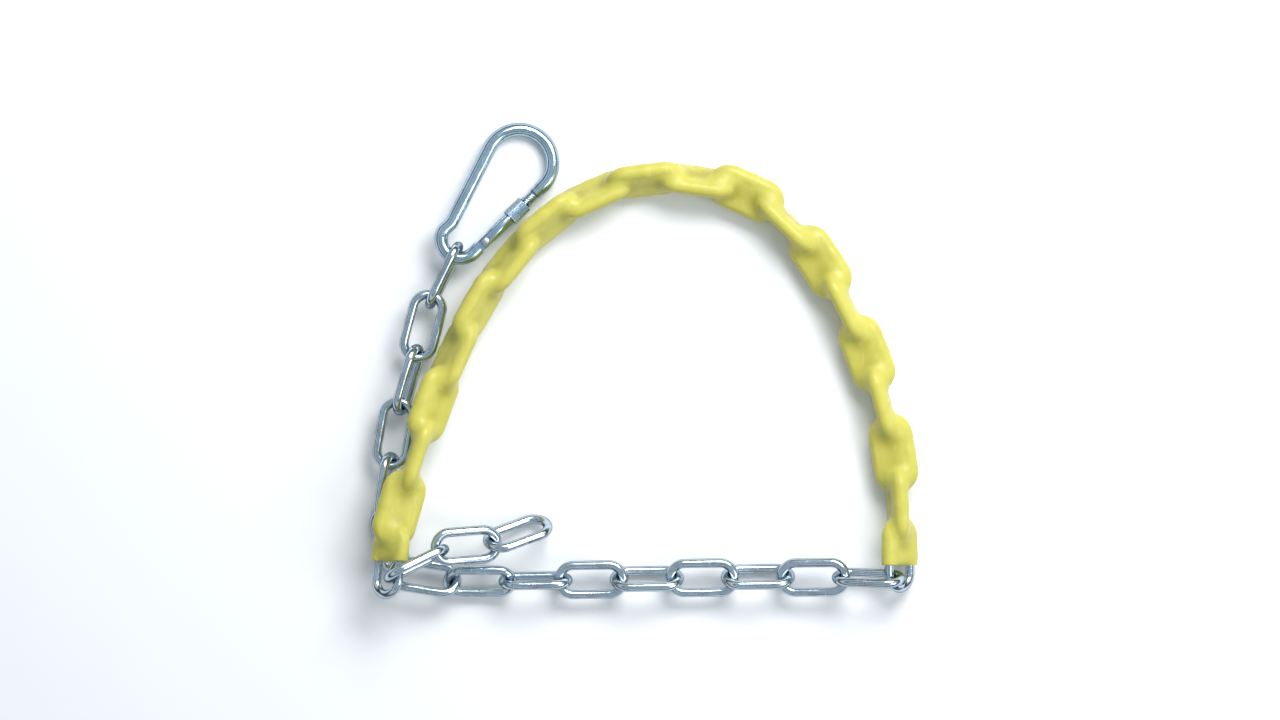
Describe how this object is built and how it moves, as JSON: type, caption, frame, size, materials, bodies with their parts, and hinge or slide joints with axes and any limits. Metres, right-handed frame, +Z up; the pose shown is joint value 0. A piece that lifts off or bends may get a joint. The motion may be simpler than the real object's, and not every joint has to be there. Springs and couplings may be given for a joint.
{
  "type": "tree swing hanging chain",
  "caption": "Hanging chain set of a tire swing: zinc-plated long-link chain, yellow branch sleeve and screw-lock spring hook, laid flat.",
  "frame": {"origin": "centre of the laid-out set's box, on the floor that it lies on", "axes": "+X along the straight run of chain towards the sleeve's falling leg, +Y towards the crown of the arch, +Z up from the floor"},
  "size_m": [0.3525, 0.306, 0.0549],
  "materials": {
    "zinc_steel": "bright zinc plating",
    "hook_steel": "bright zinc plating",
    "spring_steel": "plain",
    "sleeve_plastic": "satin"
  },
  "bodies": {
    "root": {"chain_sleeve": "sleeve_plastic", "sleeved_link_01": "zinc_steel", "sleeved_link_02": "zinc_steel", "sleeved_link_03": "zinc_steel", "sleeved_link_04": "zinc_steel", "sleeved_link_05": "zinc_steel", "sleeved_link_06": "zinc_steel", "sleeved_link_07": "zinc_steel", "sleeved_link_08": "zinc_steel", "sleeved_link_09": "zinc_steel", "sleeved_link_10": "zinc_steel", "sleeved_link_11": "zinc_steel", "sleeved_link_12": "zinc_steel", "sleeved_link_13": "zinc_steel", "sleeved_link_14": "zinc_steel", "sleeved_link_15": "zinc_steel", "sleeved_link_16": "zinc_steel", "sleeved_link_17": "zinc_steel", "sleeved_link_18": "zinc_steel", "sleeved_link_19": "zinc_steel", "sleeved_link_20": "zinc_steel"},
    "lead_01": {"lead_link_01": "zinc_steel"},
    "lead_02": {"lead_link_02": "zinc_steel"},
    "lead_03": {"lead_link_03": "zinc_steel"},
    "lead_04": {"lead_link_04": "zinc_steel"},
    "lead_05": {"lead_link_05": "zinc_steel"},
    "lead_06": {"lead_link_06": "zinc_steel"},
    "lead_07": {"lead_link_07": "zinc_steel"},
    "lead_08": {"lead_link_08": "zinc_steel"},
    "lead_09": {"lead_link_09": "zinc_steel"},
    "lead_10": {"lead_link_10": "zinc_steel"},
    "lead_11": {"lead_link_11": "zinc_steel"},
    "lead_12": {"lead_link_12": "zinc_steel"},
    "lead_13": {"lead_link_13": "zinc_steel"},
    "lead_14": {"lead_link_14": "zinc_steel"},
    "lead_15": {"lead_link_15": "zinc_steel"},
    "tail_1": {"tail_link_1": "zinc_steel"},
    "tail_2": {"tail_link_2": "zinc_steel"},
    "tail_3": {"tail_link_3": "zinc_steel"},
    "hook": {"hook_body": "hook_steel"},
    "gate": {"hook_gate": "hook_steel", "gate_pivot_pin": "spring_steel", "gate_latch_pin": "spring_steel", "gate_plunger": "spring_steel", "gate_spring": "spring_steel"},
    "nut": {"lock_nut": "hook_steel"}
  },
  "joints": [
    {"name": "lead_01_swing", "type": "hinge", "parent": "root", "child": "lead_01", "pos_m": [0.15733, -0.13865, 0.02097], "axis": [-0.1704, 0.9715, 0.1645], "range_deg": [-28.5, 0]},
    {"name": "lead_02_swing", "type": "hinge", "parent": "lead_01", "child": "lead_02", "pos_m": [0.12321, -0.13856, 0.01718], "axis": [-0.1155, -0.3038, 0.9457], "range_deg": [0, 70]},
    {"name": "lead_03_swing", "type": "hinge", "parent": "lead_02", "child": "lead_03", "pos_m": [0.08784, -0.13842, 0.01292], "axis": [0.0411, 0.9928, 0.1122], "range_deg": [-25.5, 0]},
    {"name": "lead_04_swing", "type": "hinge", "parent": "lead_03", "child": "lead_04", "pos_m": [0.05222, -0.13882, 0.01256], "axis": [0.0092, -0.5298, 0.848], "range_deg": [0, 38.5]},
    {"name": "lead_05_swing", "type": "hinge", "parent": "lead_04", "child": "lead_05", "pos_m": [0.01657, -0.13944, 0.01256], "axis": [0.0173, -0.9901, -0.1392], "range_deg": [0, 38.5]},
    {"name": "lead_06_swing", "type": "hinge", "parent": "lead_05", "child": "lead_06", "pos_m": [-0.01907, -0.14007, 0.01256], "axis": [0.0092, -0.5298, 0.848], "range_deg": [0, 28.5]},
    {"name": "lead_07_swing", "type": "hinge", "parent": "lead_06", "child": "lead_07", "pos_m": [-0.05472, -0.14069, 0.01256], "axis": [-0.0173, 0.9924, 0.1219], "range_deg": [-13.5, 0]},
    {"name": "lead_08_swing", "type": "hinge", "parent": "lead_07", "child": "lead_08", "pos_m": [-0.09036, -0.14128, 0.01244], "axis": [-0.0075, -0.2758, 0.9612], "range_deg": [0, 38.5]},
    {"name": "lead_09_swing", "type": "hinge", "parent": "lead_08", "child": "lead_09", "pos_m": [-0.12595, -0.14048, 0.01311], "axis": [-0.1153, -0.7609, -0.6385], "range_deg": [-4.5, 0]},
    {"name": "lead_10_swing", "type": "hinge", "parent": "lead_09", "child": "lead_10", "pos_m": [-0.15765, -0.12981, 0.01104], "axis": [-0.7791, -0.4991, 0.3793], "range_deg": [0, 10.5]},
    {"name": "lead_11_swing", "type": "hinge", "parent": "lead_10", "child": "lead_11", "pos_m": [-0.16609, -0.09629, 0.01326], "axis": [-0.7714, 0.1513, -0.618], "range_deg": [-70, 1]},
    {"name": "lead_12_swing", "type": "hinge", "parent": "lead_11", "child": "lead_12", "pos_m": [-0.16201, -0.0611, 0.0121], "axis": [0.4036, -0.0365, -0.9142], "range_deg": [-19.5, 0]},
    {"name": "lead_13_swing", "type": "hinge", "parent": "lead_12", "child": "lead_13", "pos_m": [-0.15507, -0.02619, 0.01206], "axis": [0.9594, -0.2773, -0.052], "range_deg": [-70, 70]},
    {"name": "lead_14_swing", "type": "hinge", "parent": "lead_13", "child": "lead_14", "pos_m": [-0.14534, 0.0081, 0.01237], "axis": [-0.3067, 0.0508, 0.9504], "range_deg": [0, 22.5]},
    {"name": "lead_15_swing", "type": "hinge", "parent": "lead_14", "child": "lead_15", "pos_m": [-0.13435, 0.04186, 0.01334], "axis": [-0.8879, 0.4372, 0.1432], "range_deg": [-7.5, 70]},
    {"name": "hook_swing", "type": "hinge", "parent": "lead_15", "child": "hook", "pos_m": [-0.11873, 0.07385, 0.01507], "axis": [-0.1168, -0.001, 0.9932], "range_deg": [-2.5, 70]},
    {"name": "tail_1_swing", "type": "hinge", "parent": "root", "child": "tail_1", "pos_m": [-0.15698, -0.13547, 0.04081], "axis": [0.2666, -0.8719, 0.4108], "range_deg": [-1, 38.5]},
    {"name": "tail_2_swing", "type": "hinge", "parent": "tail_1", "child": "tail_2", "pos_m": [-0.12708, -0.12031, 0.03253], "axis": [-0.134, -0.2189, -0.9665], "range_deg": [-38.5, 7.5]},
    {"name": "tail_3_swing", "type": "hinge", "parent": "tail_2", "child": "tail_3", "pos_m": [-0.0937, -0.11501, 0.02214], "axis": [-0.1925, 0.9563, 0.2201], "range_deg": [-48.5, 48.5]},
    {"name": "gate_swing", "type": "hinge", "parent": "hook", "child": "gate", "pos_m": [-0.10128, 0.07681, 0.01358], "axis": [0.071, 0.0926, 0.9932], "range_deg": [0, 25.5], "stiffness_Nm_per_rad": 0.012, "springref_deg": -12},
    {"name": "nut_travel", "type": "slide", "parent": "gate", "child": "nut", "axis": [-0.7132, -0.6914, 0.1154], "range_m": [-0.01, 0]}
  ]
}
